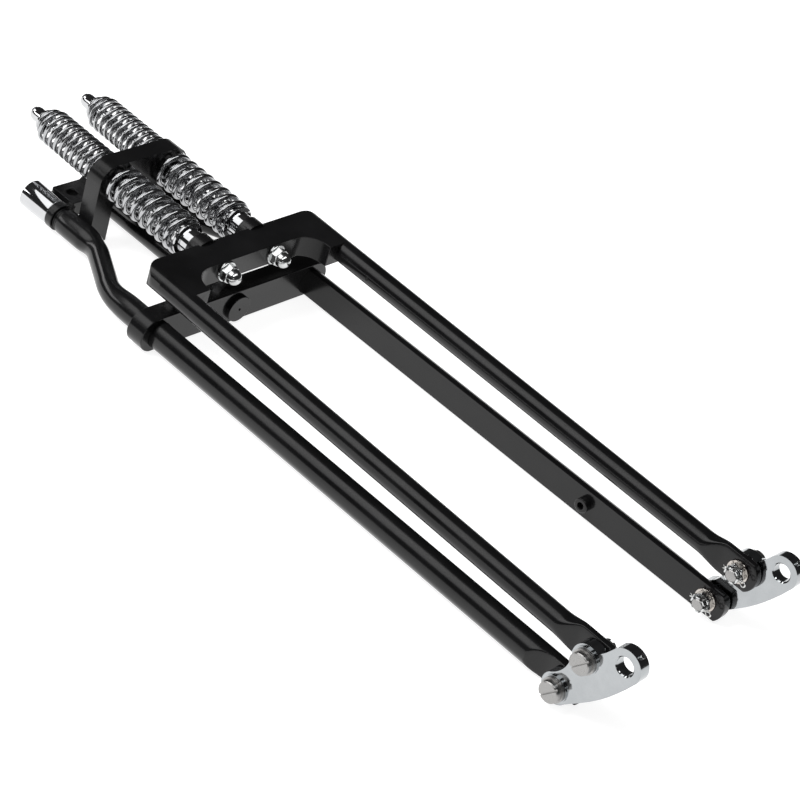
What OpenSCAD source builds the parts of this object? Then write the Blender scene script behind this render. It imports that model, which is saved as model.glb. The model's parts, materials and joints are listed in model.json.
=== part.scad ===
// Leading-link springer fork: a rigid rear frame with steering stem, a sprung
// front frame on two spring rods, and two rockers that carry the axle.
// X runs across the fork, +Y along the legs towards the handlebar end,
// +Z is the forward side of the fork, which faces up as it lies flat.
// x = 0 is the middle plane. Lengths below are counted from the rear rocker pivot,
// and the whole fork is then centred along Y over the origin.

/* [Node] */
// which node to draw

/* [Rear frame] */
// height of the rear leg plane above the floor
fork_z = 19; // [19:0.5:30]
// inner flat of the rear legs, distance from the middle plane
leg_flat_x = 107.5; // [100:0.5:115]
// centre of the rear leg's round outer side
leg_arc_x = 110.4; // [105:0.1:116]
// radius of the rear leg's round outer side
leg_arc_r = 16.6; // [14:0.1:20]
// thickness of the rear leg's flattened eye
rear_eye_t = 9.5; // [8:0.5:12]
// radius of the rear eye's rounded end
rear_eye_r = 23; // [19:0.5:26]
// top face of the lower crown
crown_top_y = 612; // [604:1:620]
// thickness of the lower crown
crown_t = 23.4; // [18:0.2:28]
// radius of the lower crown's round ends
crown_end_r = 20.5; // [19:0.5:24]
// distance of the crown's rounded end centres from the middle plane
crown_end_x = 117.5; // [114:0.5:122]
// distance of the gooseneck tubes from the middle plane at the crown
neck_x = 112; // [110:0.5:114]
// radius of the gooseneck tubes
neck_r = 15; // [12:0.5:16]
// radius of the gooseneck tubes between their bends
neck_waist_r = 12.2; // [11:0.1:15]
// distance of the upper gooseneck tubes from the middle plane
neck_top_x = 71; // [60:0.5:80]
// where the gooseneck bend starts
bend_y = 654; // [640:1:665]
// angle of the gooseneck bend
bend_a = 30; // [24:1:40]
// bend radius of the gooseneck
bend_r = 60; // [45:1:70]
// end of the full-size gooseneck tube
neck_end_y = 795; // [785:1:805]
// radius of the steering stem
stem_r = 12.7; // [11:0.1:16]
// upper end of the steering stem
stem_end_y = 846; // [830:1:880]

/* [Spring perch] */
// lower face of the perch plate
perch_y = 763; // [755:1:775]
// thickness of the perch plate along the fork
perch_t = 22; // [14:0.5:26]
// half width of the perch
perch_x = 63; // [56:0.5:70]
// top of the perch above the rear leg plane
perch_z = 86; // [78:0.5:92]
// rod hole radius in the perch
perch_hole_r = 9; // [8.5:0.1:10]

/* [Front frame] */
// distance of the front leg tubes from the middle plane
tube_x = 114; // [110:0.5:118]
// radius of the front leg tubes
tube_r = 12.7; // [11:0.1:14]
// tilt of the front frame against the rear frame
front_tilt = 0.89; // [0:0.01:2]
// lower face of the front crown, measured from the front pivot
fcrown_u = 604.5; // [595:0.5:615]
// depth of the front crown bar
fcrown_t = 36; // [28:0.5:42]
// half spacing of the two spring rods
rod_x = 36.5; // [32:0.5:42]
// radius of the spring rods
rod_r = 5.5; // [5:0.1:6.5]

/* [Springs] */
// outer radius of the lower springs
low_r = 22.7; // [20:0.1:24]
// wire diameter of the lower springs
low_wire = 6.2; // [5:0.1:7]
// turns of the lower springs
low_turns = 8.6; // [7:0.1:10]
// outer radius of the inner springs
inner_r = 15; // [13:0.1:16]
// wire diameter of the inner springs
inner_wire = 4; // [3:0.1:4.5]
// turns of the inner springs
inner_turns = 12; // [9:0.5:14]
// outer radius of the upper springs
up_r = 21; // [18:0.1:23]
// wire diameter of the upper springs
up_wire = 4.7; // [4:0.1:5.5]
// turns of the upper springs
up_turns = 11.8; // [9:0.5:13]

/* [Rockers] */
// inner face of the rockers, distance from the middle plane
rocker_x = 119; // [118.5:0.5:122]
// thickness of the rockers
rocker_t = 12.7; // [10:0.1:15]
// front pivot, along the fork from the rear pivot
pivot_y = -18; // [-24:0.5:-12]
// front pivot, forward of the rear pivot
pivot_z = 52; // [46:0.5:58]
// axle hole, along the fork from the rear pivot
axle_y = -55.6; // [-64:0.1:-48]
// axle hole, forward of the rear pivot
axle_z = 75.8; // [68:0.1:84]
// radius of the axle hole
axle_r = 9.525; // [7.9:0.005:12.7]

/* [Pivot studs] */
// radius of the stud shoulders that run in the bushings
shoulder_r = 7.94; // [6.5:0.01:9]
// radius of the stud threads
thread_r = 6.35; // [5:0.01:7]
// radius of the slotted stud heads
head_r = 11.5; // [10:0.1:13]
// width across flats of the castle nuts
nut_af = 19.05; // [17:0.05:22]

/* [Hidden] */

R = -1;
L = 1;
mid_y = 418.8;
leg_h = sqrt(leg_arc_r * leg_arc_r - (leg_arc_x - leg_flat_x) * (leg_arc_x - leg_flat_x));
leg_out_x = leg_arc_x + leg_arc_r;
eye_out_x = leg_flat_x + rear_eye_t;
crown_bot_y = crown_top_y - crown_t;
scoop_len = 25;
scoop_start = 20;
scoop_d = leg_out_x - eye_out_x;
scoop_r = (scoop_len * scoop_len + scoop_d * scoop_d) / (2 * scoop_d);
bend_mid = ((neck_x - neck_top_x) - 2 * bend_r * (1 - cos(bend_a))) / sin(bend_a);
bend1_x = neck_x - bend_r;
bend_end_y = bend_y + 2 * bend_r * sin(bend_a) + bend_mid * cos(bend_a);
ftab_in = 109.5;
ftab_out = 118;
ftab_h = 17.5;
ftab_r = 22;
low_u0 = 668.3;
low_u1 = 780.5;
up_u0 = 803.4;
up_u1 = 905.8;
rod_top_u = 924;
rear_in = 92;
front_in = 96;
wash_t = 2.2;
rear_pin_a = 103;
front_pin_a = 96;

// colours
module black_satin() { color([0.03, 0.03, 0.032]) children(); }
module black_flat() { color([0.05, 0.05, 0.052]) children(); }
module chrome() { color([0.82, 0.83, 0.85]) children(); }
module satin_chrome() { color([0.62, 0.66, 0.68]) children(); }
module steel() { color([0.66, 0.66, 0.65]) children(); }
module bronze() { color([0.62, 0.46, 0.26]) children(); }

// frames: rear frame, side mirror and the tilted front frame
module rf() { translate([0, -mid_y, fork_z]) children(); }
module ff() { translate([0, pivot_y - mid_y, pivot_z + fork_z]) rotate([front_tilt, 0, 0]) children(); }
module side(s) { if (s > 0) children(); else mirror([1, 0, 0]) children(); }

// round bar along +Y from y0 to y1
module ybar(r, y0, y1, fn = 48) { translate([0, y0, 0]) rotate([-90, 0, 0]) cylinder(r = r, h = y1 - y0, $fn = fn); }
// round bar along +X from x0 to x1
module xbar(r, x0, x1, fn = 48) { translate([x0, 0, 0]) rotate([0, 90, 0]) cylinder(r = r, h = x1 - x0, $fn = fn); }
// tapered bar along +Y
module ycone(r0, r1, y0, y1, fn = 48) { translate([0, y0, 0]) rotate([-90, 0, 0]) cylinder(r1 = r0, r2 = r1, h = y1 - y0, $fn = fn); }
// tapered bar along +X
module xcone(r0, r1, x0, x1, fn = 48) { translate([x0, 0, 0]) rotate([0, 90, 0]) cylinder(r1 = r0, r2 = r1, h = x1 - x0, $fn = fn); }

// D-section leg on the +X side, flattened to an eye at its lower end
module rear_leg_shape() {
    difference() {
        union() {
            intersection() {
                translate([leg_arc_x, 0, 0]) ybar(leg_arc_r, -rear_eye_r, crown_bot_y, 64);
                union() {
                    translate([leg_flat_x, 0, -20]) cube([30, crown_bot_y + 1, 40]);
                    xbar(rear_eye_r, leg_flat_x, leg_out_x + 2, 64);
                }
            }
        }
        // eye face and the scoop that blends it into the round side
        translate([eye_out_x, -rear_eye_r - 5, -30]) cube([20, scoop_start + rear_eye_r + 5, 60]);
        translate([eye_out_x + scoop_r, scoop_start, -30]) cylinder(r = scoop_r, h = 60, $fn = 96);
        // stud hole
        xbar(thread_r + 0.05, leg_flat_x - 5, leg_out_x + 5, 40);
        // hole under the threaded boss
        translate([leg_flat_x - 1, 165, 0]) xbar(4, 0, 12, 32);
    }
}
module rear_leg(s) { rf() side(s) black_satin() rear_leg_shape(); }
module rear_leg_r() { rear_leg(R); }
module rear_leg_l() { rear_leg(L); }

// gooseneck tube: a round section swept up an S-bend from the lower crown
function smooth(t) = t <= 0 ? 0 : t >= 1 ? 1 : t * t * (3 - 2 * t);
function neck_rad(y) = neck_r - (neck_r - neck_waist_r) * (smooth((y - 636) / 44) - smooth((y - 738) / 24));
function neck_path() = concat(
    [[neck_x, crown_bot_y, 0], [neck_x, crown_top_y, 0], [neck_x, 636, 0], [neck_x, 645, 0]],
    [for (i = [0:8]) let (t = bend_a * i / 8) [bend1_x + bend_r * cos(t), bend_y + bend_r * sin(t), t]],
    [for (i = [0:8]) let (t = bend_a * (1 - i / 8)) [neck_top_x + bend_r - bend_r * cos(t), bend_end_y - bend_r * sin(t), t]],
    [[neck_top_x, 762, 0], [neck_top_x, neck_end_y, 0]]);
module neck_tube_shape() {
    n = 24;
    path = neck_path();
    m = len(path);
    pts = [for (q = path) for (k = [0:n - 1]) let (b = 360 * k / n, r = neck_rad(q[1]))
        [q[0] + r * cos(b) * cos(q[2]), q[1] + r * cos(b) * sin(q[2]), r * sin(b)]];
    faces = concat([[for (k = [0:n - 1]) k]], [[for (k = [n - 1:-1:0]) (m - 1) * n + k]],
        [for (i = [0:m - 2]) for (k = [0:n - 1]) [i * n + k, (i + 1) * n + k, (i + 1) * n + (k + 1) % n, i * n + (k + 1) % n]]);
    polyhedron(points = pts, faces = faces, convexity = 10);
}
module gooseneck(s) { rf() side(s) black_satin() neck_tube_shape(); }
module gooseneck_r() { gooseneck(R); }
module gooseneck_l() { gooseneck(L); }

// turned plug in the tube's upper end: shoulder, neck and threaded stud
module leg_top_stud(s) {
    rf() side(s) black_satin() translate([neck_top_x, 0, 0]) rotate([-90, 0, 0]) rotate_extrude($fn = 48)
        polygon([[0, neck_end_y], [neck_r - 0.3, neck_end_y], [neck_r - 2, neck_end_y + 2],
            [12.4, neck_end_y + 2], [12.4, 801.6], [6, 801.6], [6, 847.2], [5.2, 848], [0, 848]]);
}
module leg_top_stud_r() { leg_top_stud(R); }
module leg_top_stud_l() { leg_top_stud(L); }

module lower_crown() {
    rf() black_satin() difference() {
        union() {
            translate([-crown_end_x, crown_bot_y, 2 - crown_end_r]) cube([2 * crown_end_x, crown_t, 2 * crown_end_r - 1]);
            for (s = [R, L]) translate([s * crown_end_x, 0, 1]) ybar(crown_end_r, crown_bot_y, crown_top_y, 64);
        }
        for (s = [R, L]) translate([s * neck_x, 0, 0]) ybar(neck_r + 0.05, crown_bot_y - 1, crown_top_y + 1, 48);
        ybar(stem_r + 0.02, crown_bot_y - 1, crown_top_y + 1, 48);
        // underside stays on the floor plane
        translate([-160, crown_bot_y - 1, -40 - fork_z]) cube([320, crown_t + 2, 40]);
    }
}

module steering_stem() {
    rf() black_satin() difference() {
        union() {
            ybar(stem_r, crown_bot_y - 1, stem_end_y - 1, 48);
            ycone(stem_r, stem_r - 1, stem_end_y - 1, stem_end_y, 48);
            ybar(15.7, crown_bot_y - 5, crown_bot_y, 48);
        }
        // centre dimple below, bore above
        ycone(1.8, 0.4, crown_bot_y - 5.1, crown_bot_y - 3, 24);
        ybar(8.5, 640, stem_end_y + 1, 40);
    }
}

// inverted-U spring perch
module perch_outline() {
    difference() {
        union() {
            translate([-perch_x, -14]) square([2 * perch_x, perch_z - 22 + 14]);
            translate([-perch_x + 22, 0]) square([2 * perch_x - 44, perch_z]);
            for (s = [R, L]) translate([s * (perch_x - 22), perch_z - 22]) circle(r = 22, $fn = 48);
        }
        translate([-37, -16]) square([74, 43]);
        translate([-24, 0]) square([48, 42]);
        for (s = [R, L]) translate([s * 22, 27]) circle(r = 15, $fn = 40);
    }
}
module spring_perch() {
    rf() black_flat() difference() {
        union() {
            translate([0, perch_y + perch_t, 0]) rotate([90, 0, 0]) linear_extrude(height = perch_t) perch_outline();
        }
        for (s = [R, L]) {
            translate([s * rod_x, 0, 65.3]) ybar(perch_hole_r, perch_y - 7, perch_y + perch_t + 1, 40);
            translate([s * neck_top_x, 0, 0]) ybar(neck_r, 700, 820, 48);
        }
    }
}

module top_clamp() {
    rf() black_flat() difference() {
        union() {
            translate([-53.5, 806, -6]) cube([107, 36, 18]);
            for (s = [R, L]) {
                translate([s * neck_top_x, 0, 0]) ybar(16, 802, 811.8, 48);
                translate([s * 62 - 10, 802, -6]) cube([20, 9.8, 16]);
            }
            ybar(19, 806, 842, 48);
        }
        ybar(stem_r + 0.02, 800, 850, 48);
        for (s = [R, L]) {
            translate([s * neck_top_x, 0, 0]) ybar(6.05, 800, 815, 32);
            translate([s * 40, 824, -10]) cylinder(r = 6.4, h = 30, $fn = 40);
        }
        translate([-80, 800, -40]) cube([160, 60, 23]);
    }
}

module leg_cap(s) {
    rf() side(s) chrome() translate([neck_top_x, 0, 0]) difference() {
        union() {
            ycone(15.3, 16.8, 811.8, 854, 64);
            ycone(16.8, 15.8, 854, 855, 64);
        }
        ybar(6.05, 811, 849, 32);
    }
}
module leg_cap_r() { leg_cap(R); }
module leg_cap_l() { leg_cap(L); }

// threaded boss welded on the inner flat
module leg_boss(s) {
    rf() side(s) black_satin() translate([0, 165, 0]) difference() {
        union() {
            xbar(8.2, leg_flat_x - 7, leg_flat_x, 40);
            xcone(7.4, 8.2, leg_flat_x - 7.8, leg_flat_x - 7, 40);
        }
        xbar(4, leg_flat_x - 9, leg_flat_x + 1, 32);
    }
}
module leg_boss_r() { leg_boss(R); }
module leg_boss_l() { leg_boss(L); }

// slotted shoulder stud, axis along X; t0 is the inner thread end, sh the shoulder face
module stud_shape(t0, sh, slot_a, pin_a) {
    difference() {
        union() {
            xbar(thread_r, t0 + 0.8, sh, 40);
            xcone(thread_r - 0.8, thread_r, t0, t0 + 0.8, 40);
            xbar(shoulder_r, sh, 134.3, 40);
            xbar(13.2, 134.3, 136.5, 48);
            xbar(head_r, 136.5, 142.2, 48);
            xcone(head_r, head_r - 1, 142.2, 143.2, 48);
        }
        rotate([slot_a, 0, 0]) translate([140.9, -head_r - 1, -1.1]) cube([4, 2 * head_r + 2, 2.2]);
        // cotter hole
        rotate([pin_a, 0, 0]) translate([t0 + 4, 0, -10]) cylinder(r = 1.6, h = 20, $fn = 20);
    }
}
module rear_stud(s) { rf() side(s) steel() stud_shape(rear_in, eye_out_x, s > 0 ? 70 : 130, rear_pin_a); }
module rear_stud_r() { rear_stud(R); }
module rear_stud_l() { rear_stud(L); }
module front_stud(s) { ff() side(s) steel() stud_shape(front_in, ftab_out, s > 0 ? 60 : 128, front_pin_a); }
module front_stud_r() { front_stud(R); }
module front_stud_l() { front_stud(L); }

// castle nut on a thread along X: x0 castle end, x1 seat
module castle_nut(x0, x1, pin_a) {
    difference() {
        union() {
            translate([x0 + 4.6, 0, 0]) rotate([pin_a + 30, 0, 0]) rotate([0, 90, 0]) cylinder(r = nut_af / sqrt(3), h = x1 - x0 - 4.6, $fn = 6);
            xbar(nut_af / 2 - 0.6, x0, x0 + 5, 40);
        }
        xbar(thread_r + 0.03, x0 - 1, x1 + 1, 40);
        for (a = [0, 60, 120]) rotate([a + pin_a, 0, 0]) translate([x0 - 1, -1.8, -20]) cube([5.8, 3.6, 40]);
    }
}
module rear_nuts() { for (s = [R, L]) rf() side(s) steel() castle_nut(rear_in + 0.8, leg_flat_x - wash_t, rear_pin_a); }
module front_nuts() { for (s = [R, L]) ff() side(s) steel() castle_nut(front_in + 0.8, ftab_in - wash_t, front_pin_a); }

module washer(ro, ri, x0, x1) { difference() { xbar(ro, x0, x1, 48); xbar(ri, x0 - 1, x1 + 1, 40); } }
module rear_washers() { for (s = [R, L]) rf() side(s) chrome() washer(12.6, thread_r + 0.2, leg_flat_x - wash_t, leg_flat_x); }
module front_washers() { for (s = [R, L]) ff() side(s) chrome() washer(12.6, thread_r + 0.2, ftab_in - wash_t, ftab_in); }
module rear_spacers() { for (s = [R, L]) rf() side(s) chrome() washer(13, shoulder_r + 0.1, eye_out_x, rocker_x - 0.3); }
module front_spacers() { for (s = [R, L]) ff() side(s) chrome() washer(13, shoulder_r + 0.1, ftab_out, rocker_x - 0.3); }

// cotter pin through the castle nut: shank, ring head and one bent leg
module cotter(x0, pin_a) {
    translate([x0 + 4, 0, 0]) rotate([pin_a, 0, 0]) {
        translate([0, 0, -12.5]) cylinder(r = 1.25, h = 24, $fn = 16);
        translate([0, 0, 14.2]) rotate([0, 90, 0]) rotate_extrude($fn = 32) translate([2.9, 0]) circle(r = 0.85, $fn = 14);
    }
}
module rear_cotters() { for (s = [R, L]) rf() side(s) steel() cotter(rear_in, rear_pin_a); }
module front_cotters() { for (s = [R, L]) ff() side(s) steel() cotter(front_in, front_pin_a); }

// rocker plate outline in the fork's side plane (first axis along the fork, second forward)
module rocker_outline() {
    difference() {
        union() {
            circle(r = 17, $fn = 64);
            translate([pivot_y, pivot_z]) circle(r = 16.5, $fn = 64);
            translate([axle_y, axle_z]) circle(r = 18.4, $fn = 64);
            polygon([[-9, -14.4], [-20, -3.2], [-29, 6.0], [-38, 15.6], [-46.4, 25.9], [-53, 35], [-59.5, 45.2], [-65.5, 55.2],
                [-70.5, 64.8], [-73.6, 72], [-55.6, 75.8], [-49, 92.9], [-44, 89.0], [-38.7, 83], [-33.5, 74.7], [-27.5, 67.2], [-18, 62], [-1.5, 52], [8, 12], [0, 0]]);
        }
        translate([30, 39.5]) circle(r = 33, $fn = 64);
    }
}
module rocker_shape() {
    difference() {
        union() {
            translate([rocker_x, 0, 0]) rotate([90, 0, 90]) linear_extrude(height = rocker_t) rocker_outline();
            xbar(14.5, rocker_x + rocker_t - 1, 134, 48);
            translate([0, pivot_y, pivot_z]) xbar(14.5, rocker_x + rocker_t - 1, 134, 48);
        }
        xbar(10.5, rocker_x - 1, 135, 48);
        translate([0, pivot_y, pivot_z]) xbar(10.5, rocker_x - 1, 135, 48);
        translate([0, axle_y, axle_z]) {
            xbar(axle_r, rocker_x - 1, rocker_x + rocker_t + 1, 64);
            xcone(axle_r + 1.5, axle_r - 0.5, rocker_x - 0.2, rocker_x + 1.8, 64);
            xcone(axle_r - 0.5, axle_r + 1.5, rocker_x + rocker_t - 1.8, rocker_x + rocker_t + 0.2, 64);
        }
        // nipple hole
        translate([rocker_x + rocker_t / 2, axle_y, axle_z]) rotate([-62, 0, 0]) rotate([90, 0, 0]) translate([0, 0, 10]) cylinder(r = 1.9, h = 20, $fn = 20);
    }
}
module rocker(s) { rf() side(s) satin_chrome() rocker_shape(); }
module rocker_r() { rocker(R); }
module rocker_l() { rocker(L); }

module bushing() { difference() { xbar(10.5, rocker_x, 134, 48); xbar(shoulder_r + 0.04, rocker_x - 1, 135, 40); } }
module rocker_bushings(s) { rf() side(s) bronze() { bushing(); translate([0, pivot_y, pivot_z]) bushing(); } }
module rocker_bushings_r() { rocker_bushings(R); }
module rocker_bushings_l() { rocker_bushings(L); }

module rocker_nipples(s) {
    rf() side(s) steel() translate([rocker_x + rocker_t / 2, axle_y, axle_z]) rotate([-62, 0, 0]) rotate([90, 0, 0]) {
        translate([0, 0, 13]) cylinder(r = 1.9, h = 6.6, $fn = 20);
        translate([0, 0, 18.6]) cylinder(r = 2.3, h = 2.4, $fn = 24);
    }
}
module rocker_nipples_r() { rocker_nipples(R); }
module rocker_nipples_l() { rocker_nipples(L); }

// front crown in the front frame: bar, side arms, round outer edges, spring cups
module crown_u() {
    difference() {
        union() {
            translate([-tube_x - tube_r, -30.5]) square([2 * (tube_x + tube_r), 30.5 + fcrown_t - 22]);
            translate([-tube_x - tube_r + 22, 0]) square([2 * (tube_x + tube_r) - 44, fcrown_t]);
            for (s = [R, L]) translate([s * (tube_x + tube_r - 22), fcrown_t - 22]) circle(r = 22, $fn = 64);
        }
        translate([-89, -40]) square([178, 40 - 26]);
        translate([-63, -40]) square([126, 40]);
        for (s = [R, L]) translate([s * 63, -26]) circle(r = 26, $fn = 64);
    }
}
module front_crown() {
    ff() black_flat() difference() {
        union() {
            intersection() {
                translate([0, fcrown_u, 0]) rotate([0, 0, 0]) translate([0, 0, -tube_r]) linear_extrude(height = 2 * tube_r) crown_u();
                union() {
                    translate([-tube_x, fcrown_u - 40, -tube_r]) cube([2 * tube_x, 90, 2 * tube_r]);
                    for (s = [R, L]) translate([s * tube_x, 0, 0]) ybar(tube_r, fcrown_u - 40, fcrown_u + 50, 64);
                }
            }
            for (s = [R, L]) translate([s * rod_x, 0, 0]) ybar(17, fcrown_u + fcrown_t - 4, fcrown_u + fcrown_t + 11.4, 48);
        }
        for (s = [R, L]) {
            translate([s * rod_x, 0, 0]) ybar(rod_r + 0.05, fcrown_u - 1, fcrown_u + 60, 40);
            translate([s * tube_x, 0, 0]) ybar(9.5, fcrown_u - 40, fcrown_u - 12, 40);
        }
    }
}

module front_leg_shape() {
    difference() {
        union() {
            translate([tube_x, 0, 0]) ybar(tube_r, 52, fcrown_u - 30.5, 48);
            translate([tube_x, 0, 0]) ybar(9.45, fcrown_u - 31, fcrown_u - 12.4, 40);
            // flattened eye
            intersection() {
                translate([ftab_in, -30, -ftab_h]) cube([ftab_out - ftab_in, 60, 2 * ftab_h]);
                union() {
                    xbar(ftab_r, ftab_in - 1, ftab_out + 1, 64);
                    translate([ftab_in, 0, -ftab_h]) cube([ftab_out - ftab_in, 30, 2 * ftab_h]);
                }
            }
            // tube squeezed flat
            hull() {
                translate([tube_x, 0, 0]) ybar(tube_r, 51, 52, 32);
                translate([ftab_in, 25, -ftab_h]) cube([ftab_out - ftab_in, 1, 2 * ftab_h]);
            }
        }
        xbar(thread_r + 0.05, ftab_in - 5, ftab_out + 5, 40);
        // vent holes
        translate([0, 525, 0]) xbar(2.2, tube_x - tube_r - 1, tube_x, 20);
        translate([0, 33, 2]) xbar(2.2, tube_x - tube_r - 1, tube_x - 4, 20);
    }
}
module front_leg(s) { ff() side(s) black_satin() front_leg_shape(); }
module front_leg_r() { front_leg(R); }
module front_leg_l() { front_leg(L); }

module spring_rod(s) {
    ff() side(s) chrome() translate([rod_x, 0, 0]) {
        ybar(rod_r, 590, rod_top_u, 40);
    }
}
module spring_rod_r() { spring_rod(R); }
module spring_rod_l() { spring_rod(L); }

// closed dome nut: dome down towards the axle end
module rod_acorn_nuts() {
    for (s = [R, L]) ff() side(s) steel() translate([rod_x, 0, 0]) difference() {
        union() {
            ybar(12.2, fcrown_u - 3, fcrown_u, 48);
            translate([0, fcrown_u - 3, 0]) rotate([90, 0, 0]) rotate([0, 0, 30]) cylinder(r = 9.5 * 2 / sqrt(3), h = 7.5, $fn = 6);
            ybar(8.6, fcrown_u - 13.5, fcrown_u - 10, 48);
            translate([0, fcrown_u - 13.5, 0]) sphere(r = 8.6, $fn = 48);
        }
        ybar(rod_r + 0.02, 589.9, fcrown_u + 1, 40);
    }
}

module rod_top_nuts() {
    for (s = [R, L]) ff() side(s) chrome() translate([rod_x, 0, 0]) difference() {
        union() {
            ybar(10.4, 909, 911, 48);
            ybar(8.7, 911, 921, 48);
            translate([0, 921, 0]) rotate([-90, 0, 0]) intersection() {
                scale([1, 1, 1]) sphere(r = 8.7, $fn = 48);
                cylinder(r = 9, h = 9, $fn = 48);
            }
        }
        ybar(rod_r + 0.02, 908, rod_top_u + 0.1, 40);
    }
}

// seat washers that float on the rods between the upper springs and the top nuts
module spring_caps() {
    for (s = [R, L]) ff() side(s) chrome() translate([rod_x, 0, 0]) difference() {
        ybar(13.4, up_u1 + 0.3, 908.7, 48);
        translate([0, 0, 1.5]) ybar(7.3, up_u1 - 1, 910, 40);
    }
}

module spring_collars() {
    for (s = [R, L]) ff() side(s) chrome() translate([rod_x, 0, 0]) difference() {
        union() {
            ybar(14.5, fcrown_u + fcrown_t + 11.4, low_u0 - 3, 48);
            ybar(20, low_u0 - 3.3, low_u0 - 0.3, 48);
            ybar(9.8, low_u0 - 1, low_u0 + 8, 40);
        }
        ybar(rod_r + 0.1, 640, 690, 40);
    }
}

// helical spring along +Y; the pitch closes up at both ends, r0 and r1 give the taper at the ends
function ease(t, e) = t < e ? t * t / (2 * e) : t > 1 - e ? (1 - e) - (1 - t) * (1 - t) / (2 * e) : t - e / 2;
module helix(ro, wire, turns, u0, u1, phase, taper = 0, e = 0.09, seg = 14, n = 6) {
    steps = ceil(turns * seg);
    rc = ro - wire / 2;
    h = u1 - u0 - wire;
    pts = [for (i = [0:steps]) let (t = i / steps, a = phase + 360 * turns * t, y = u0 + wire / 2 + h * ease(t, e) / (1 - e),
        r = rc - taper * max(0, 1 - (1 - t) * turns / 1.8) * max(0, 1 - (1 - t) * turns / 1.8))
        for (k = [0:n - 1]) let (b = 360 * k / n, rr = r + wire / 2 * cos(b)) [rr * cos(a), y + wire / 2 * sin(b), rr * sin(a)]];
    faces = concat([[for (k = [0:n - 1]) k]], [[for (k = [n - 1:-1:0]) steps * n + k]],
        [for (i = [0:steps - 1]) for (k = [0:n - 1]) [i * n + k, (i + 1) * n + k, (i + 1) * n + (k + 1) % n, i * n + (k + 1) % n]]);
    polyhedron(points = pts, faces = faces, convexity = 20);
}
module lower_spring(s) { ff() chrome() translate([s * rod_x, 0, 0]) helix(low_r, low_wire, low_turns, low_u0, low_u1, 200); }
module lower_spring_r() { lower_spring(R); }
module lower_spring_l() { lower_spring(L); }
module inner_spring(s) { ff() chrome() translate([s * rod_x, 0, 0]) helix(inner_r, inner_wire, inner_turns, low_u0, low_u1, 20); }
module inner_spring_r() { inner_spring(R); }
module inner_spring_l() { inner_spring(L); }
module upper_spring(s) { ff() chrome() translate([s * rod_x, 0, 0]) helix(up_r, up_wire, up_turns, up_u0, up_u1, 60, 8, 0.075); }
module upper_spring_r() { upper_spring(R); }
module upper_spring_l() { upper_spring(L); }

rear_leg_r();
rear_leg_l();
gooseneck_r();
gooseneck_l();
leg_top_stud_r();
leg_top_stud_l();
lower_crown();
steering_stem();
spring_perch();
top_clamp();
leg_cap_r();
leg_cap_l();
leg_boss_r();
leg_boss_l();
rear_stud_r();
rear_stud_l();
rear_nuts();
rear_washers();
rear_cotters();
rear_spacers();
lower_spring_r();
lower_spring_l();
inner_spring_r();
inner_spring_l();
upper_spring_r();
upper_spring_l();
rocker_r();
rocker_l();
rocker_bushings_r();
rocker_bushings_l();
rocker_nipples_r();
rocker_nipples_l();
front_crown();
front_leg_r();
front_leg_l();
spring_rod_r();
spring_rod_l();
rod_acorn_nuts();
rod_top_nuts();
spring_caps();
spring_collars();
front_stud_r();
front_stud_l();
front_nuts();
front_washers();
front_cotters();
front_spacers();
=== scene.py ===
import bpy, bmesh, math, json
import numpy as np
from mathutils import Vector, Matrix

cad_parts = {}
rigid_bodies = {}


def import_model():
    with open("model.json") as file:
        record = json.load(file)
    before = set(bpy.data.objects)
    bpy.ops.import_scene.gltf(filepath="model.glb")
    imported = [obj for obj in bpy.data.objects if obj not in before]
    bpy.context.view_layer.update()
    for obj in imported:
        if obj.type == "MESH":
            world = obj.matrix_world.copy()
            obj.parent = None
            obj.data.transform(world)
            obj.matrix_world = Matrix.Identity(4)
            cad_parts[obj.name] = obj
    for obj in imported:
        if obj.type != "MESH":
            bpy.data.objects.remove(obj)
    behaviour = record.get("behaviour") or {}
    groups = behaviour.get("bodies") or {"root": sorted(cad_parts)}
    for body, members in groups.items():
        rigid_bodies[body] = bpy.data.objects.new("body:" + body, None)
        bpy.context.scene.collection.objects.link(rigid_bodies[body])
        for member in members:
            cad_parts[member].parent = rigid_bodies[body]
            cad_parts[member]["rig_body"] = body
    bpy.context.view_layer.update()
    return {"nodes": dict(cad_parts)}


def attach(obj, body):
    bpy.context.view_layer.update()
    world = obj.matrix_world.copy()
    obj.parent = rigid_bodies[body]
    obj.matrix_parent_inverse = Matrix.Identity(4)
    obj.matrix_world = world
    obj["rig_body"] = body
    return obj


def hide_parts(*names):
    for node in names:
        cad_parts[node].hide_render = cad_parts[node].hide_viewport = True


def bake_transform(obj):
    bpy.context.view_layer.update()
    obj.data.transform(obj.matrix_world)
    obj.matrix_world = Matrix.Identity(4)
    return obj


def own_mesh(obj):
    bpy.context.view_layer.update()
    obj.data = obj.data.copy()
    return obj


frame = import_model()
N = frame["nodes"]

# ---------------------------------------------------------------- layout (mm)
MID, ZR = 418.8, 19.0
PY, PZ, TILT = -18.0, 52.0, math.radians(0.89)
CT, ST = math.cos(TILT), math.sin(TILT)


def rf(p):
    p = np.asarray(p, float)
    return np.stack([p[..., 0], p[..., 1] - MID, p[..., 2] + ZR], -1) / 1000


def ff(p):
    p = np.asarray(p, float)
    return np.stack([p[..., 0], p[..., 1] * CT - p[..., 2] * ST + PY - MID, p[..., 1] * ST + p[..., 2] * CT + PZ + ZR], -1) / 1000


# ---------------------------------------------------------------- materials
def new_mat(name):
    m = bpy.data.materials.new(name)
    m.use_nodes = True
    nt = m.node_tree
    b = nt.nodes["Principled BSDF"]
    return m, nt, b


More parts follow.
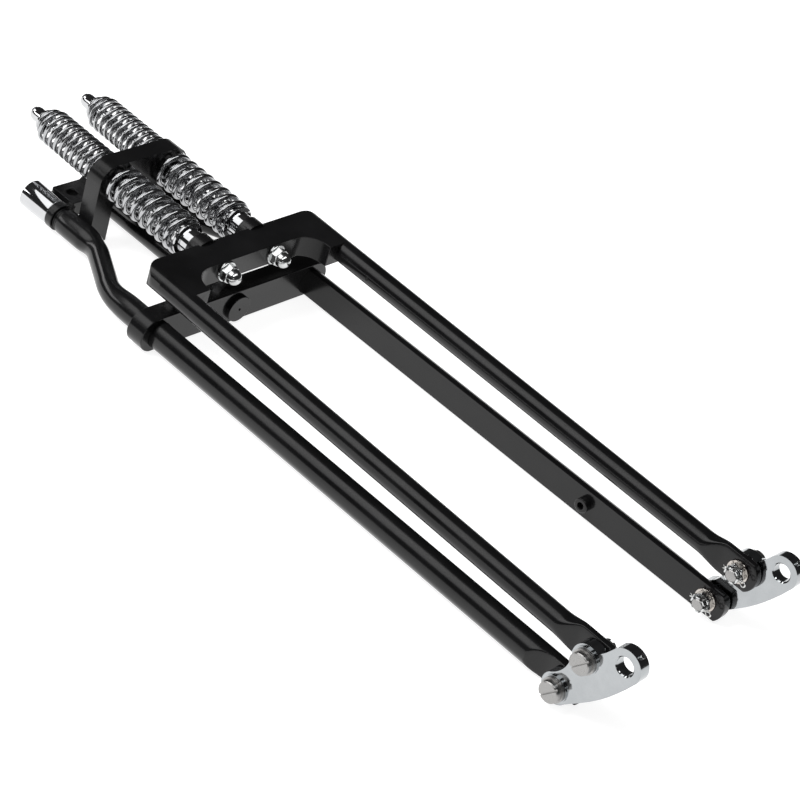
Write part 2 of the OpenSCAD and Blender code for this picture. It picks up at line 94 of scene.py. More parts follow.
def noise(nt, scale, detail=4.0, rough=0.5, vec=None, dims="3D"):
    n = nt.nodes.new("ShaderNodeTexNoise")
    n.noise_dimensions = dims
    n.inputs["Scale"].default_value = scale
    n.inputs["Detail"].default_value = detail
    n.inputs["Roughness"].default_value = rough
    if vec is not None:
        nt.links.new(vec, n.inputs["Vector"])
    return n


def coords(nt, scale=(1, 1, 1)):
    tc = nt.nodes.new("ShaderNodeTexCoord")
    mp = nt.nodes.new("ShaderNodeMapping")
    mp.inputs["Scale"].default_value = scale
    nt.links.new(tc.outputs["Object"], mp.inputs["Vector"])
    return mp.outputs["Vector"]


def ramp(nt, fac, a, b, p0=0.0, p1=1.0):
    r = nt.nodes.new("ShaderNodeMapRange")
    r.inputs["From Min"].default_value = p0
    r.inputs["From Max"].default_value = p1
    r.inputs["To Min"].default_value = a
    r.inputs["To Max"].default_value = b
    nt.links.new(fac, r.inputs["Value"])
    return r.outputs["Result"]


def colour_ramp(nt, fac, stops):
    r = nt.nodes.new("ShaderNodeValToRGB")
    el = r.color_ramp.elements
    el[0].position, el[0].color = stops[0][0], (*stops[0][1], 1)
    el[1].position, el[1].color = stops[-1][0], (*stops[-1][1], 1)
    for p, c in stops[1:-1]:
        e = el.new(p)
        e.color = (*c, 1)
    nt.links.new(fac, r.inputs["Fac"])
    return r.outputs["Color"]


def bump(nt, bsdf, height, strength, dist):
    bp = nt.nodes.new("ShaderNodeBump")
    bp.inputs["Strength"].default_value = strength
    bp.inputs["Distance"].default_value = dist
    nt.links.new(height, bp.inputs["Height"])
    nt.links.new(bp.outputs["Normal"], bsdf.inputs["Normal"])


def paint(name, base, r0, r1, peel=0.05, coat=0.0):
    m, nt, b = new_mat(name)
    v = coords(nt)
    big = noise(nt, 18, 3, 0.55, v)
    fine = noise(nt, 900, 2, 0.5, v)
    dark = tuple(c * 0.75 for c in base)
    lite = tuple(c * 1.35 for c in base)
    nt.links.new(colour_ramp(nt, big.outputs["Fac"], [(0.3, dark), (0.7, lite)]), b.inputs["Base Color"])
    nt.links.new(ramp(nt, big.outputs["Fac"], r0, r1, 0.3, 0.7), b.inputs["Roughness"])
    b.inputs["Specular IOR Level"].default_value = 0.85
    b.inputs["Specular Tint"].default_value = (0.38, 0.38, 0.38, 1)
    if coat:
        b.inputs["Coat Weight"].default_value = coat
        b.inputs["Coat Roughness"].default_value = 0.08
    if peel:
        bump(nt, b, fine.outputs["Fac"], peel, 0.0002)
    return m


def plated(name, base, r0, r1, scale=60, tint=None, stretch=(1, 1, 1), fine=700, relief=0.0):
    m, nt, b = new_mat(name)
    v = coords(nt, stretch)
    big = noise(nt, scale, 4, 0.6, v)
    sm = noise(nt, fine, 3, 0.6, v)
    c0 = tint or tuple(c * 0.95 for c in base)
    nt.links.new(colour_ramp(nt, big.outputs["Fac"], [(0.35, c0), (0.65, base)]), b.inputs["Base Color"])
    nt.links.new(ramp(nt, sm.outputs["Fac"], r0, r1, 0.3, 0.7), b.inputs["Roughness"])
    b.inputs["Metallic"].default_value = 1.0
    if relief:
        bump(nt, b, sm.outputs["Fac"], relief, 0.0002)
    return m


M = {
    "black_satin": paint("black_satin_paint", (0.0032, 0.0032, 0.0034), 0.14, 0.20, 0.02),
    "black_flat": paint("black_crown_paint", (0.0038, 0.0038, 0.0040), 0.20, 0.27, 0.03),
    "black_boss": paint("black_boss_paint", (0.0034, 0.0034, 0.0036), 0.16, 0.24, 0.02),
    # near-black matte paint for the vent discs: painted shade standing in for the dark inside of open holes
    "hole": paint("painted_hole_shade", (0.0015, 0.0015, 0.0015), 0.7, 0.8, 0.0),
    "chrome": plated("polished_chrome", (0.56, 0.565, 0.575), 0.03, 0.06, 40),
    "spring": plated("spring_chrome", (0.44, 0.445, 0.455), 0.13, 0.18, 60, fine=900),
    "rocker": plated("rocker_chrome", (0.42, 0.435, 0.445), 0.07, 0.12, 35, (0.38, 0.395, 0.405), fine=900),
    "zinc": plated("zinc_plate", (0.62, 0.62, 0.61), 0.14, 0.24, 150),
    "nut": plated("bright_nut_plate", (0.60, 0.61, 0.61), 0.14, 0.22, 200),
    "stud": plated("turned_stud_face", (0.34, 0.335, 0.33), 0.24, 0.34, 300, stretch=(1, 1, 6), relief=0.15),
    "washer": plated("washer_chrome", (0.56, 0.53, 0.50), 0.08, 0.14, 90, (0.46, 0.42, 0.385)),
    "bronze": plated("bearing_bronze", (0.50, 0.36, 0.19), 0.25, 0.4, 90),
}


# ---------------------------------------------------------------- mesh helpers
def obj_from(name, verts, faces, mat, body, node=None, angle=35, smooth=True):
    me = bpy.data.meshes.new(name)
    me.from_pydata([tuple(map(float, v)) for v in verts], [], [tuple(map(int, f)) for f in faces])
    me.validate()
    bm = bmesh.new()
    bm.from_mesh(me)
    bmesh.ops.recalc_face_normals(bm, faces=bm.faces)
    bm.to_mesh(me)
    bm.free()
    if smooth:
        me.shade_smooth()
        me.set_sharp_from_angle(angle=math.radians(angle))
    o = bpy.data.objects.new(name, me)
    bpy.context.scene.collection.objects.link(o)
    me.materials.append(mat)
    if body:
        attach(o, body)
    if node:
        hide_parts(*([node] if isinstance(node, str) else node))
    return o


def grid_faces(nr, nc, closed=True, caps=True):
    f = []
    for i in range(nr - 1):
        for k in range(nc if closed else nc - 1):
            k2 = (k + 1) % nc
            f.append((i * nc + k, (i + 1) * nc + k, (i + 1) * nc + k2, i * nc + k2))
    if caps:
        f.append(tuple(range(nc - 1, -1, -1)))
        f.append(tuple((nr - 1) * nc + k for k in range(nc)))
    return f


def revolve(profile, n=64):
    """profile: (r, t) pairs; ring around local axis t; returns (verts (a, b, t), faces), poles closed."""
    prof = list(profile)
    verts, rings = [], []
    for r, t in prof:
        if r < 1e-6:
            rings.append([len(verts)])
            verts.append((0, 0, t))
        else:
            rings.append(list(range(len(verts), len(verts) + n)))
            for k in range(n):
                a = 2 * math.pi * k / n
                verts.append((r * math.cos(a), r * math.sin(a), t))
    faces = []
    for A, B in zip(rings[:-1], rings[1:]):
        for k in range(n):
            k2 = (k + 1) % n
            if len(A) == 1 and len(B) == 1:
                continue
            if len(A) == 1:
                faces.append((A[0], B[k], B[k2]))
            elif len(B) == 1:
                faces.append((A[k], B[0], A[k2]))
            else:
                faces.append((A[k], B[k], B[k2], A[k2]))
    if len(rings[0]) > 1:
        faces.append(tuple(reversed(rings[0])))
    if len(rings[-1]) > 1:
        faces.append(tuple(rings[-1]))
    return np.array(verts), faces


def fillet_profile(pts, rad, seg=4):
    """round the inner corners of an (r, t) polyline."""
    out = [pts[0]]
    for i in range(1, len(pts) - 1):
        p0, p, p1 = map(np.array, (pts[i - 1], pts[i], pts[i + 1]))
        a, b = p0 - p, p1 - p
        la, lb = np.linalg.norm(a), np.linalg.norm(b)
        r = rad[i] if isinstance(rad, (list, tuple)) else rad
        if la < 1e-9 or lb < 1e-9 or r <= 0:
            out.append(tuple(p))
            continue
        a, b = a / la, b / lb
        ang = math.acos(max(-1, min(1, float(a @ b))))
        if ang > math.radians(176):
            out.append(tuple(p))
            continue
        d = min(r / math.tan(ang / 2), la * 0.48, lb * 0.48)
        for k in range(seg + 1):
            t = k / seg
            q = (1 - t) ** 2 * (p + a * d) + 2 * t * (1 - t) * p + t * t * (p + b * d)
            out.append(tuple(q))
    out.append(pts[-1])
    return out


def turned(name, frm, axis, centre, prof, mat, body, node=None, rad=0.5, n=64, angle=40):
    """a turned piece: profile (r, t) along +axis ('x', 'y' or '-x') through centre, in frame frm."""
    v, f = revolve(fillet_profile(prof, rad), n)
    c = np.array(centre, float)
    if axis == "y":
        P = np.stack([v[:, 0] + c[0], v[:, 2] + c[1], v[:, 1] + c[2]], -1)
    elif axis == "x":
        P = np.stack([v[:, 2] + c[0], v[:, 0] + c[1], v[:, 1] + c[2]], -1)
    else:
        P = np.stack([-v[:, 2] + c[0], v[:, 0] + c[1], v[:, 1] + c[2]], -1)
    return obj_from(name, frm(P), f, mat, body, node, angle)


def refine(node, mat, width=0.8, seg=3, angle=32, name=None):
    """a copy of a CAD node's solid with rounded edges."""
    src = N[node]
    me = src.data.copy()
    o = bpy.data.objects.new(name or node + "_finish", me)
    bpy.context.scene.collection.objects.link(o)
    me.materials.clear()
    me.materials.append(mat)
    bm = bmesh.new()
    bm.from_mesh(me)
    bmesh.ops.remove_doubles(bm, verts=bm.verts, dist=2e-6)
    bmesh.ops.dissolve_limit(bm, angle_limit=math.radians(0.6), verts=bm.verts, edges=bm.edges)
    bm.to_mesh(me)
    bm.free()
    me.shade_smooth()
    if "sharp_face" in me.attributes:
        me.attributes.remove(me.attributes["sharp_face"])
    me.set_sharp_from_angle(angle=math.radians(angle))
    if width:
        b = o.modifiers.new("edge", "BEVEL")
        b.width = width / 1000
        b.segments = seg
        b.limit_method = "ANGLE"
        b.angle_limit = math.radians(angle)
        b.harden_normals = False
        b.miter_outer = "MITER_ARC"
    body = src["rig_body"]
    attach(o, body)
    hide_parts(node)
    return o


def join(name, parts):
    """joins finished objects into one."""
    bpy.ops.object.select_all(action="DESELECT")
    for o in parts:
        o.select_set(True)
    bpy.context.view_layer.objects.active = parts[0]
    bpy.ops.object.join()
    parts[0].name = name
    return parts[0]


SIDES = (("r", -1), ("l", 1))


# ---------------------------------------------------------------- rear legs
def smooth01(t):
    t = np.clip(t, 0, 1)
    return t * t * (3 - 2 * t)


def d_ring(y, n=128):
    """points of the D section at y, in the x, z plane of the +x side."""
    cx = 112.0
    ph = 2 * math.pi * (np.arange(n) + 0.5) / n
    c, s = np.cos(ph), np.sin(ph)
    cap = 1e3
    xo = 127.0
    if y < 20:
        xo = 117.0
    elif y < 46:
        R = 36.25
        xo = 117.0 + R - math.sqrt(max(R * R - (y - 20) ** 2, 0))
    xo = min(xo, 127.0)
    flat = np.where(c < -1e-6, (107.5 - cx) / np.minimum(c, -1e-6), cap)
    outer = np.where(c > 1e-6, (xo - cx) / np.maximum(c, 1e-6), cap)
    ax = 110.4 - cx
    bq = ax * c
    arc = bq + np.sqrt(np.maximum(16.6 ** 2 - ax * ax + bq * bq, 0.01))
    rs = [flat, outer, arc]
    if y < 2:
        h = math.sqrt(max(23.0 ** 2 - min(y, 0) ** 2, 0.02))
        rs.append(np.where(np.abs(s) > 1e-6, h / np.maximum(np.abs(s), 1e-6), cap))
    p = 60.0 if y < -10 else 26.0
    inv = sum((1.0 / np.maximum(r, 0.05)) ** p for r in rs)
    r = inv ** (-1.0 / p)
    r = r * (1.003 if y < -10 else 1.012)
    r = np.minimum(r, np.minimum.reduce(rs))
    return np.stack([cx + r * c, np.full(n, y), r * s], -1)


ys = [-22.98, -22.9, -22.7, -22.3, -21.8, -21.2, -20.4, -19.5, -18.5, -17.4, -16.6, -16.16, -16.14, -15.6, -14.4, -12, -8, 0, 6, 12, 17, 19, 20] + list(np.linspace(21, 45, 17)) + [46, 60, 165, 300, 450, 570, 586, 588.6]
for sd, sg in SIDES:
    rings = np.concatenate([d_ring(y) for y in ys])
    rings[:, 0] *= sg
    o = obj_from("rear_leg_body_" + sd, rf(rings), grid_faces(len(ys), 128), M["black_satin"], "rear_frame", "rear_leg_" + sd, 30)

# ---------------------------------------------------------------- goosenecks
BEND_Y, BEND_A, BEND_R, X0, X1 = 654.0, math.radians(30), 60.0, 112.0, 71.0
mid_len = ((X0 - X1) - 2 * BEND_R * (1 - math.cos(BEND_A))) / math.sin(BEND_A)
BEND_END = BEND_Y + 2 * BEND_R * math.sin(BEND_A) + mid_len * math.cos(BEND_A)


def neck_rad(y):
    return 15.0 - 2.8 * float(smooth01((y - 636) / 44) - smooth01((y - 738) / 24))


def neck_path():
    out = [(X0, y, 0) for y in (588.6, 600, 610, 620, 632, 637, 642, 647)]
    for t in np.linspace(0, BEND_A, 18):
        out.append((X0 - BEND_R + BEND_R * math.cos(t), BEND_Y + BEND_R * math.sin(t), t))
    p0, p1 = out[-1], (X1 + BEND_R - BEND_R * math.cos(BEND_A), BEND_END - BEND_R * math.sin(BEND_A))
    for k in range(1, 8):
        f = k / 8
        out.append((p0[0] + (p1[0] - p0[0]) * f, p0[1] + (p1[1] - p0[1]) * f, BEND_A))
    for t in np.linspace(BEND_A, 0, 18):
        out.append((X1 + BEND_R - BEND_R * math.cos(t), BEND_END - BEND_R * math.sin(t), t))
    out += [(X1, 760, 0), (X1, 763, 0), (X1, 780, 0), (X1, 794.2, 0)]
    return out


for sd, sg in SIDES:
    pts, nn = [], 64
    for x, y, t in neck_path():
        nr = neck_rad(y)
        for k in range(nn):
            b = 2 * math.pi * k / nn
            pts.append((sg * (x + nr * math.cos(b) * math.cos(t)), y + nr * math.cos(b) * math.sin(t), nr * math.sin(b)))
    # rounded shoulder at the top
    for rr, dy in ((14.9, 794.6), (14.6, 794.95)):
        for k in range(nn):
            b = 2 * math.pi * k / nn
            pts.append((sg * (X1 + rr * math.cos(b)), dy, rr * math.sin(b)))
    m = len(pts) // nn
    obj_from("gooseneck_tube_" + sd, rf(np.array(pts)), grid_faces(m, nn), M["black_satin"], "rear_frame", "gooseneck_" + sd, 50)
    turned("leg_top_plug_" + sd, rf, "y", (sg * 71, 0, 0),
           [(0, 795), (14.6, 795), (13.4, 797.0), (12.2, 797.4), (12.2, 799.6), (13.4, 800.0), (13.4, 801.5), (6, 801.6), (6, 847), (5.2, 848), (0, 848)],
           M["black_boss"], "rear_frame", "leg_top_stud_" + sd, 0.5)
    # flared chrome cap
    turned("leg_cap_shell_" + sd, rf, "y", (sg * 71, 0, 0),
           [(0, 812), (15.2, 812), (16.8, 854.2), (15.0, 855), (0, 855)], M["chrome"], "rear_frame", "leg_cap_" + sd, 0.9, 96)

# ---------------------------------------------------------------- front legs
def f_ring(u, n=96):
    w = float(smooth01((u - 20) / 28.0))
    cx = 113.75 + (114 - 113.75) * w
    a = 4.25 + (12.7 - 4.25) * w
    e = 7.0 + (2.0 - 7.0) * w
    q = e / (e - 1)
    tgt = 12.7 + 2.2 * (1 - w)
    b = max(tgt ** q - (a * 0.667) ** q, 0.1) ** (1 / q) / 0.745
    if w <= 0:
        b = 17.5
    if u < 0:
        b = min(b, math.sqrt(max(22.0 ** 2 - u * u, 0.02)))
    ph = 2 * math.pi * (np.arange(n) + 0.5) / n
    c, s = np.cos(ph), np.sin(ph)
    # superellipse by angle parameter, even arc spread
    x = a * np.sign(c) * np.abs(c) ** (2 / e)
    z = b * np.sign(s) * np.abs(s) ** (2 / e)
    return np.stack([cx + x, np.full(n, u), z], -1)


us = [-21.98, -21.9, -21.6, -21.2, -20.6, -19.8, -18.8, -17.6, -16.2, -14.6, -13.36, -13.32, -12.6, -10, -4, 4, 12, 18, 22] + list(np.linspace(23, 49, 27)) + [60, 120, 250, 400, 520, 572, 600, 611]
for sd, sg in SIDES:
    rings = np.concatenate([f_ring(u) for u in us])
    rings[:, 0] *= sg
    obj_from("front_leg_tube_" + sd, ff(rings), grid_faces(len(us), 96), M["black_satin"], "front_frame", "front_leg_" + sd, 40)

# ---------------------------------------------------------------- springs
def ease(t, e):
    return np.where(t < e, t * t / (2 * e), np.where(t > 1 - e, (1 - e) - (1 - t) ** 2 / (2 * e), t - e / 2))


def helix(name, sx, ro, wire, turns, u0, u1, phase, e=0.09, taper=0.0, seg=44, n=16, mat=None):
    steps = int(turns * seg)
    t = np.arange(steps + 1) / steps
    a = np.radians(phase) + 2 * math.pi * turns * t
    h = u1 - u0 - wire
    y = u0 + wire / 2 + h * ease(t, e) / (1 - e)
    k = np.maximum(0, 1 - (1 - t) * turns / 1.8)
    rc = ro - wire / 2 - taper * k * k
    # tangent for a true round wire
    cx, cz = rc * np.cos(a), rc * np.sin(a)
    P = np.stack([cx, y, cz], -1)
    T = np.gradient(P, axis=0)
    T /= np.linalg.norm(T, axis=1)[:, None]
    rad = np.stack([np.cos(a), 0 * a, np.sin(a)], -1)
    B = np.cross(T, rad)
    B /= np.linalg.norm(B, axis=1)[:, None]
    Nn = np.cross(B, T)
    b = 2 * math.pi * np.arange(n) / n
    ring = P[:, None, :] + wire / 2 * (np.cos(b)[None, :, None] * Nn[:, None, :] + np.sin(b)[None, :, None] * B[:, None, :])
    V = ring.reshape(-1, 3)
    # ground flat ends
    V[:, 1] = np.clip(V[:, 1], u0 + 0.05, u1 - 0.05)
    V[:, 0] += sx
    return obj_from(name, ff(V), grid_faces(steps + 1, n), mat or M["spring"], None, None, 60)


LU0, LU1, UU0, UU1 = 668.3, 780.5, 803.4, 905.8
for sd, sg in SIDES:
    sx = sg * 36.5
    for nm, ro, wire, turns, ph in (("lower_spring_", 22.7, 6.2, 8.6, 200), ("inner_spring_", 15.0, 4.0, 12.0, 20)):
        o = helix(nm + "coil_" + sd, sx, ro, wire, turns, LU0, LU1, ph)
        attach(o, "rear_frame")
        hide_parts(nm + sd)
        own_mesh(o)
    o = helix("upper_spring_coil_" + sd, sx, 21.0, 4.7, 11.8, UU0, UU1, 60, 0.075, 8.0)
    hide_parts("upper_spring_" + sd)
    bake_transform(o)

# ---------------------------------------------------------------- rods, nuts and seats
for sd, sg in SIDES:
    sx = sg * 36.5
    turned("spring_rod_bar_" + sd, ff, "y", (sx, 0, 0), [(0, 590), (5.5, 590), (5.5, 924), (0, 924)], M["chrome"], "front_frame", "spring_rod_" + sd, 0.3, 40)


def multi(name, node, body, mat, makers):
    parts = [mk() for mk in makers]
    o = join(name, parts)
    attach(o, body)
    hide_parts(node)
    return o


def raw(frm, axis, centre, prof, mat, rad=0.5, n=64, angle=40):
    return turned("part", frm, axis, centre, prof, mat, None, None, rad, n, angle)


multi("rod_bullet_nuts", "rod_top_nuts", "front_frame", M["chrome"], [
    (lambda s=s: raw(ff, "y", (s * 36.5, 0, 0),
                     [(0, 909), (10.4, 909), (10.4, 911), (8.7, 911.2), (8.7, 920.5), (8.2, 923.6), (6.9, 926.6), (5.0, 928.6), (2.6, 929.6), (0, 929.8)],
                     M["chrome"], 0.5, 64, 60)) for _, s in SIDES])
multi("upper_seat_washers", "spring_caps", "rebound_seats", M["chrome"], [
    (lambda s=s: raw(ff, "y", (s * 36.5, 0, 0), [(8.6, 906.1), (13.4, 906.1), (13.4, 908.7), (8.6, 908.7), (8.6, 906.1)], M["chrome"], 0.5, 64)) for _, s in SIDES])
multi("lower_seat_collars", "spring_collars", "front_frame", M["chrome"], [
    (lambda s=s: raw(ff, "y", (s * 36.5, 0, 0),
                     [(0, 651.9), (14.5, 651.9), (14.5, 665), (20, 665), (20, 668), (9.8, 668), (9.8, 676), (0, 676)], M["chrome"], 0.6, 80)) for _, s in SIDES])


# ---------------------------------------------------------------- hexagon parts
def hex_r(af, th, round_r=0.0):
    """distance from the axis to a hexagon's side at angle th, corners cut by a circle."""
    d = (np.asarray(th) + math.pi / 6) % (math.pi / 3) - math.pi / 6
    r = af / 2 / np.cos(d)
    return np.minimum(r, round_r) if round_r else r


def ring_mesh(name, frm, axis, centre, rings, mat, angle=34, close=False):
    """rings: list of (radius array, height array, angle array); axis 'x', '-x' or 'y'."""
    P = []
    c = np.array(centre, float)
    for r, h, th in rings:
        a, b = r * np.cos(th), r * np.sin(th)
        if axis == "y":
            P.append(np.stack([c[0] + a, c[1] + h, c[2] + b], -1))
        elif axis == "x":
            P.append(np.stack([c[0] + h, c[1] + a, c[2] + b], -1))
        else:
            P.append(np.stack([c[0] - h, c[1] + a, c[2] + b], -1))
    n = len(rings[0][0])
    f = grid_faces(len(rings), n, True, not close)
    if close:
        m = len(rings)
        f += [((m - 1) * n + k, k, (k + 1) % n, (m - 1) * n + (k + 1) % n) for k in range(n)]
    return obj_from(name, frm(np.concatenate(P)), f, mat, None, None, angle)


def castle(frm, axis, centre, x0, x1, pin_a, mat, af=19.05, bore=6.38):
    """slotted nut: castle end at x0, seat at x1."""
    half, depth = 1.8, 5.8
    kinds = []
    for s6 in range(6):
        a0 = math.radians(pin_a + 60 * s6)
        for fr in (-1.0, -0.5, 0.0, 0.5, 1.0):
            kinds.append(("s", a0, fr))
        for fr in (0.004, 0.08, 0.2, 0.33, 0.46, 0.5, 0.54, 0.67, 0.8, 0.92, 0.996):
            kinds.append(("t", a0, fr))

    def ring(rad, h, hexed):
        th, sl = [], []
        for kd, a0, fr in kinds:
            hw = math.asin(half / 8.9 if not hexed else half / 9.6) if rad > 8 else math.asin(half / max(rad, 2.2))
            if kd == "s":
                th.append(a0 + fr * hw)
                sl.append(True)
            else:
                th.append(a0 + hw + fr * (math.pi / 3 - 2 * hw))
                sl.append(False)
        th, sl = np.array(th), np.array(sl)
        if hexed:
            rr = np.minimum(hex_r(af, th - math.radians(pin_a) - math.pi / 6 + math.pi / 6), rad)
        else:
            rr = np.full(len(th), float(rad))
        hh = np.where(sl, np.maximum(h, x0 + depth), h)
        return rr, hh, th

    rings = [ring(bore, x1, False), ring(9.3, x1, False), ring(10.3, x1 - 0.45, True), ring(10.9, x1 - 0.9, True),
             ring(10.9, x0 + 5.7, True), ring(10.3, x0 + 5.2, True), ring(9.4, x0 + 4.8, True),
             ring(8.9, x0 + 4.6, False), ring(8.9, x0 + 0.9, False), ring(8.7, x0 + 0.35, False), ring(8.2, x0, False),
             ring(6.9, x0, False), ring(bore, x0 + 0.5, False)]
    return ring_mesh("part", frm, axis, centre, rings, mat, 32, True)


def dome_nut(frm, centre, mat):
    """closed nut with a flange, dome towards the axle end; heights along the rod."""
    n = 96
    th = 2 * math.pi * np.arange(n) / n
    F = 604.5
    def circ(r, h):
        return np.full(n, float(r)), np.full(n, float(h)), th
    def hx(cap, h):
        return hex_r(19, th, cap), np.full(n, float(h)), th
    rings = [circ(5.55, F), circ(11.7, F), circ(12.2, F - 0.5), circ(12.2, F - 2.4), circ(11.8, F - 3.0), circ(10.9, F - 3.05),
             hx(10.9, F - 3.1), hx(10.9, F - 9.5), hx(10.3, F - 10.1), hx(9.5, F - 10.5), circ(8.9, F - 10.6)]
    for k in range(0, 14):
        a = math.radians(6.2 * k)
        rings.append(circ(8.6 * math.cos(a), F - 13.3 - 8.6 * math.sin(a)))
    return ring_mesh("part", frm, "y", centre, rings, mat, 34)


def wire(frm, pts, r, mat, n=12):
    """a round wire along a polyline, square ends."""
    P = np.array(pts, float)
    T = np.gradient(P, axis=0)
    T /= np.linalg.norm(T, axis=1)[:, None]
    ref = np.array([1.0, 0, 0])
    V = []
    for p, t in zip(P, T):
        b1 = np.cross(t, np.cross(ref, t)) if abs(t @ ref) < 0.9 else np.cross(t, np.cross(np.array([0, 0.3, 1.0]), t))
        b1 = b1 / np.linalg.norm(b1)
        b2 = np.cross(t, b1)
        for k in range(n):
            a = 2 * math.pi * k / n
            V.append(p + r * (math.cos(a) * b1 + math.sin(a) * b2))
    return obj_from("part", frm(np.array(V)), grid_faces(len(P), n), mat, None, None, 60)


def cotter_pin(frm, sg, x0, pin_a, mat):
    """split pin: eye at +v, two legs at -v; v lies in the y, z plane."""
    a = math.radians(pin_a)
    vy, vz = -math.sin(a), math.cos(a)
    wy, wz = math.cos(a), math.sin(a)
    line = [(-13.0, 2.0), (-11.6, 1.2), (-9.6, 0.62), (-6, 0.55), (0, 0.55), (6, 0.55), (10.4, 0.6), (11.4, 0.95)]
    for k in range(0, 15):
        t = math.radians(150 - 300 * k / 14)
        line.append((14.2 - 2.7 * math.cos(math.radians(0)) * math.cos(t) * -1.0, 2.7 * math.sin(t)))
    line += [(11.4, -0.95), (10.4, -0.6), (6, -0.55), (0, -0.55), (-6, -0.55), (-9.0, -0.6), (-11.0, -1.1), (-12.2, -1.8)]
    pts = [(sg * (x0 + 4), v * vy + w * wy, v * vz + w * wz) for v, w in line]
    return wire(frm, pts, 0.72, mat)


RIN, FIN, WT = 92.0, 96.0, 2.2
RPA, FPA = 103.0, 96.0
for k, frm, x0, x1, pa, body in (("rear", rf, RIN, 107.5, RPA, "rear_frame"), ("front", ff, FIN, 109.5, FPA, "front_frame")):
    multi(k + "_castle_nuts", k + "_nuts", body, M["nut"], [
        (lambda s=s: castle(frm, "x" if s > 0 else "-x", (0, 0, 0), x0 + 0.8, x1 - WT, pa, M["nut"])) for _, s in SIDES])
    multi(k + "_flat_washers", k + "_washers", body, M["washer"], [
        (lambda s=s: raw(frm, "x" if s > 0 else "-x", (0, 0, 0), [(6.6, x1 - WT + 0.02), (12.6, x1 - WT + 0.02), (12.6, x1), (6.6, x1), (6.6, x1 - WT + 0.02)], M["washer"], 0.45, 80)) for _, s in SIDES])
    multi(k + "_split_pins", k + "_cotters", body, M["zinc"], [
        (lambda s=s: cotter_pin(frm, s, x0, pa, M["zinc"])) for _, s in SIDES])
multi("rod_dome_nuts", "rod_acorn_nuts", "front_frame", M["nut"], [
    (lambda s=s: dome_nut(ff, (s * 36.5, 0, 0), M["nut"])) for _, s in SIDES])

# vent holes on the inner side of the front legs, drawn as flat near-black discs: painted shade standing in for the
# open holes
for sd, sg in SIDES:
    for tag, u, w, x, r in (("top", 525.0, 0.0, 101.24, 2.1), ("low", 33.0, 2.0, 108.4, 2.0)):
        o = turned("vent_shade_disc_" + tag + "_" + sd, ff, "x" if sg > 0 else "-x", (0, u, w), [(0, x), (r, x), (r, x + 1.5), (0, x + 1.5)], M["hole"], "front_frame", None, 0.1, 32)

# ---------------------------------------------------------------- refined CAD solids
refine("lower_crown", M["black_satin"], 1.2, 4)
refine("steering_stem", M["black_satin"], 0.5, 2)
refine("spring_perch", M["black_flat"], 1.4, 4)
refine("top_clamp", M["black_flat"], 1.2, 3)
refine("front_crown", M["black_flat"], 1.6, 4)
for sd, sg in SIDES:
    refine("rocker_" + sd, M["rocker"], 0.9, 4)
    refine("rocker_bushings_" + sd, M["bronze"], 0.3, 2)
    refine("rocker_nipples_" + sd, M["nut"], 0.3, 2)
    refine("leg_boss_" + sd, M["black_boss"], 0.5, 3)
    refine("rear_stud_" + sd, M["stud"], 0.45, 3)
    refine("front_stud_" + sd, M["stud"], 0.45, 3)
for k in ("rear", "front"):
    refine(k + "_spacers", M["chrome"], 0.2, 2)

# ---------------------------------------------------------------- stage, light, camera
def area(name, loc, target, size, size_y, energy, col=(1, 1, 1)):
    l = bpy.data.lights.new(name, "AREA")
    l.shape = "RECTANGLE"
    l.size, l.size_y, l.energy, l.color = size, size_y, energy, col
    o = bpy.data.objects.new(name, l)
    bpy.context.scene.collection.objects.link(o)
    o.location = loc
    o.rotation_mode = "QUATERNION"
    o.rotation_quaternion = (Vector(target) - Vector(loc)).to_track_quat("-Z", "Y")
    return o


floor_me = bpy.data.meshes.new("floor")
S = 9.0
floor_me.from_pydata([(-S, -S, -0.0005), (S, -S, -0.0005), (S, S, -0.0005), (-S, S, -0.0005)], [], [(0, 1, 2, 3)])
floor = bpy.data.objects.new("floor", floor_me)
bpy.context.scene.collection.objects.link(floor)
fm, fnt, fb = new_mat("floor_paper")
fn = noise(fnt, 3, 2, 0.5, coords(fnt))
fnt.links.new(colour_ramp(fnt, fn.outputs["Fac"], [(0.3, (0.30, 0.30, 0.30)), (0.7, (0.33, 0.33, 0.33))]), fb.inputs["Base Color"])
fb.inputs["Roughness"].default_value = 0.9
fb.inputs["Specular IOR Level"].default_value = 0.1
fnt.links.new(colour_ramp(fnt, fn.outputs["Fac"], [(0.3, (0.99, 0.99, 0.99)), (0.7, (1.0, 1.0, 1.0))]), fb.inputs["Emission Color"])
fb.inputs["Emission Strength"].default_value = 0.88
floor_me.materials.append(fm)


def strip(name, direction, dist, across, along, radiance, long_axis, target=(0, -0.1, 0.05)):
    """a distant soft box seen from the fork in a given direction; its long side lies along long_axis."""
    d = Vector(direction).normalized()
    t = Vector(target)
    o = area(name, t + d * dist, t, across, along, radiance * math.pi * across * along)
    lx = Vector(long_axis)
    lx = (lx - d * lx.dot(d)).normalized()
    sy = d.cross(lx).normalized()
    o.rotation_quaternion = Matrix((lx, sy, d)).transposed().to_quaternion()
    o.visible_camera = False
    return o


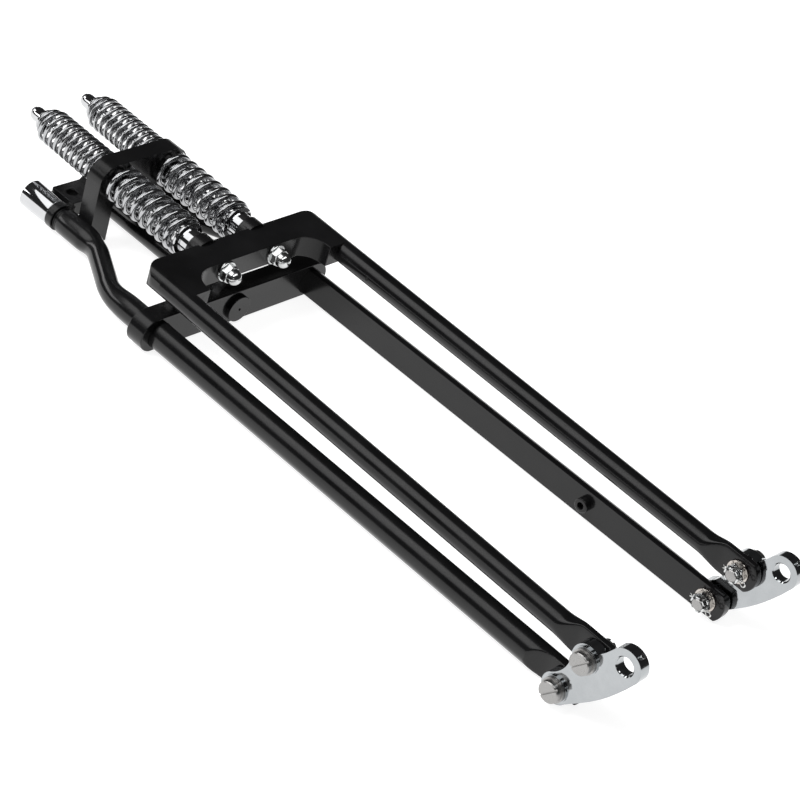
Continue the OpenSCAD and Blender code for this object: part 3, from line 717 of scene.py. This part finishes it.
strip("key_wide", (-0.45, 0.41, 0.79), 5.0, 4.4, 2.4, 1.6, (1, 0, 0))
strip("key_mid", (-0.45, 0.41, 0.79), 5.0, 3.0, 2.1, 10.0, (1, 0, 0))
strip("key_core", (-0.45, 0.41, 0.79), 5.0, 1.5, 1.9, 16.0, (1, 0, 0))
strip("cross_front", (-0.15, -0.28, 0.95), 5.0, 7.0, 1.0, 4.5, (1, 0, 0))
strip("cross_back", (-0.30, 0.86, 0.42), 5.0, 4.5, 0.9, 3.5, (1, 0, 0))
strip("low_left", (-0.75, -0.62, 0.25), 5.0, 0.9, 1.0, 1.2, (0, 0, 1))

world = bpy.data.worlds.new("studio")
bpy.context.scene.world = world
world.use_nodes = True
wnt = world.node_tree
bg = wnt.nodes["Background"]
tc = wnt.nodes.new("ShaderNodeTexCoord")
sep = wnt.nodes.new("ShaderNodeSeparateXYZ")
wnt.links.new(tc.outputs["Generated"], sep.inputs["Vector"])
wr = wnt.nodes.new("ShaderNodeValToRGB")
el = wr.color_ramp.elements
el[0].position, el[0].color = 0.0, (0.8, 0.8, 0.8, 1)
el[1].position, el[1].color = 1.0, (0.05, 0.05, 0.05, 1)
for p, c in ((0.49, 0.5), (0.515, 0.10), (0.56, 0.035), (0.80, 0.025)):
    e = el.new(p)
    e.color = (c, c, c * 1.01, 1)
mr = ramp(wnt, sep.outputs["Z"], 0.0, 1.0, -1.0, 1.0)
wnt.links.new(mr, wr.inputs["Fac"])
wnt.links.new(wr.outputs["Color"], bg.inputs["Color"])
bg.inputs["Strength"].default_value = 1.0

cam_d = bpy.data.cameras.new("camera")
cam = bpy.data.objects.new("camera", cam_d)
bpy.context.scene.collection.objects.link(cam)
cam_d.sensor_width = 36.0
cam_d.sensor_fit = "HORIZONTAL"
cam_d.lens = 36.0 * 2352.145 / 800.0
cam_d.clip_start, cam_d.clip_end = 0.05, 50
right = Vector((0.67264493, -0.69485743, 0.2544051))
up = Vector((0.28636846, 0.56146342, 0.776371))
fwd = Vector((0.68230632, 0.44936842, -0.57665078))
loc = Vector((-1642.289, -731.083 - MID, 1430.828 + ZR)) / 1000
mw = Matrix.Identity(4)
for i in range(3):
    mw[i][0], mw[i][1], mw[i][2], mw[i][3] = right[i], up[i], -fwd[i], loc[i]
cam.matrix_world = mw
bpy.context.scene.camera = cam
bpy.context.scene.view_settings.view_transform = "Standard"
